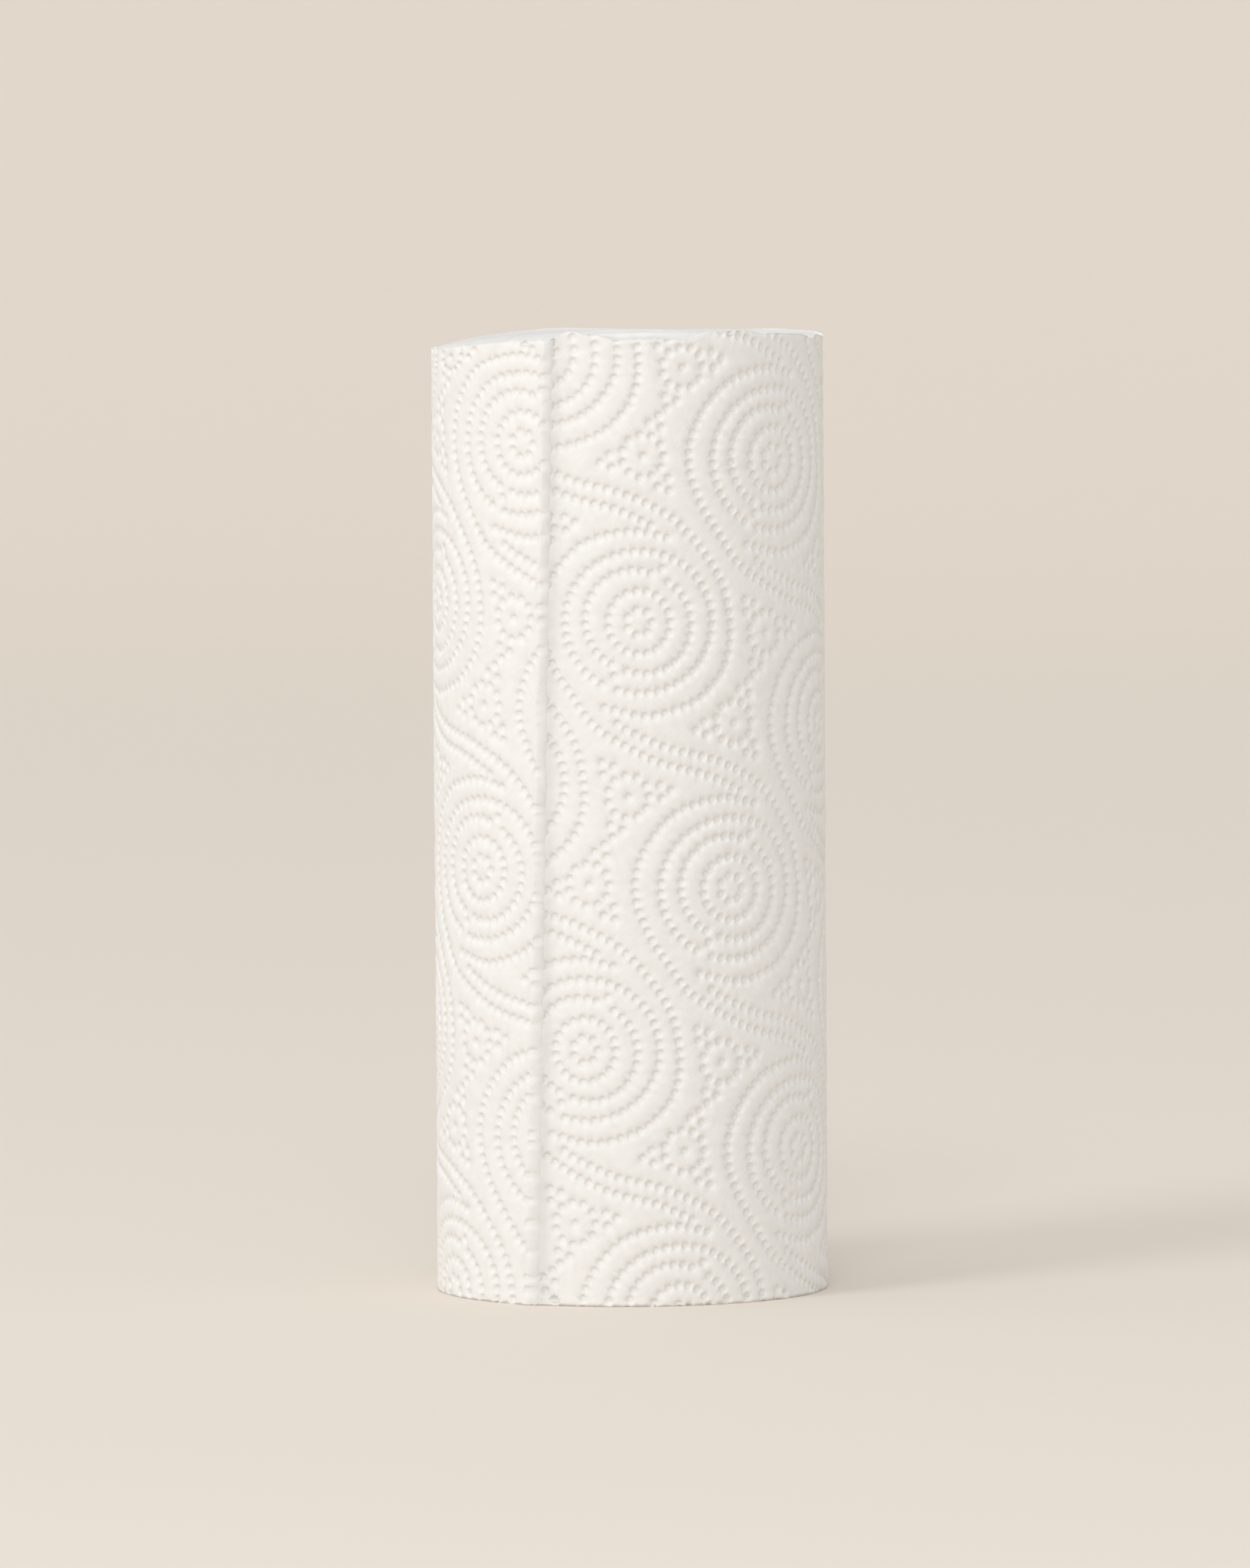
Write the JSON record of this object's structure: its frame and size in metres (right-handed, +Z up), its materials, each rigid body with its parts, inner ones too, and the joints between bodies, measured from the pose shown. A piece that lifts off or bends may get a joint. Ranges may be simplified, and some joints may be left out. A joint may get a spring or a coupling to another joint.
{
  "type": "paper towel roll",
  "caption": "Embossed kitchen paper towel wound on a cardboard core, standing on its end, with the free edge of the last sheet lying on the roll.",
  "frame": {"origin": "centre of the lower end of the roll, on the axis of the core", "axes": "+Z up along the axis of the roll, -Y towards the front, where the free edge lies a little to the left"},
  "size_m": [0.1148, 0.1142, 0.2794],
  "materials": {
    "tissue_paper": "soft embossed two-ply tissue, white, matt",
    "core_board": "spiral-wound grey-brown board, matt"
  },
  "bodies": {
    "root": {"wound_towels": "tissue_paper", "core_tube": "core_board"}
  },
  "joints": []
}
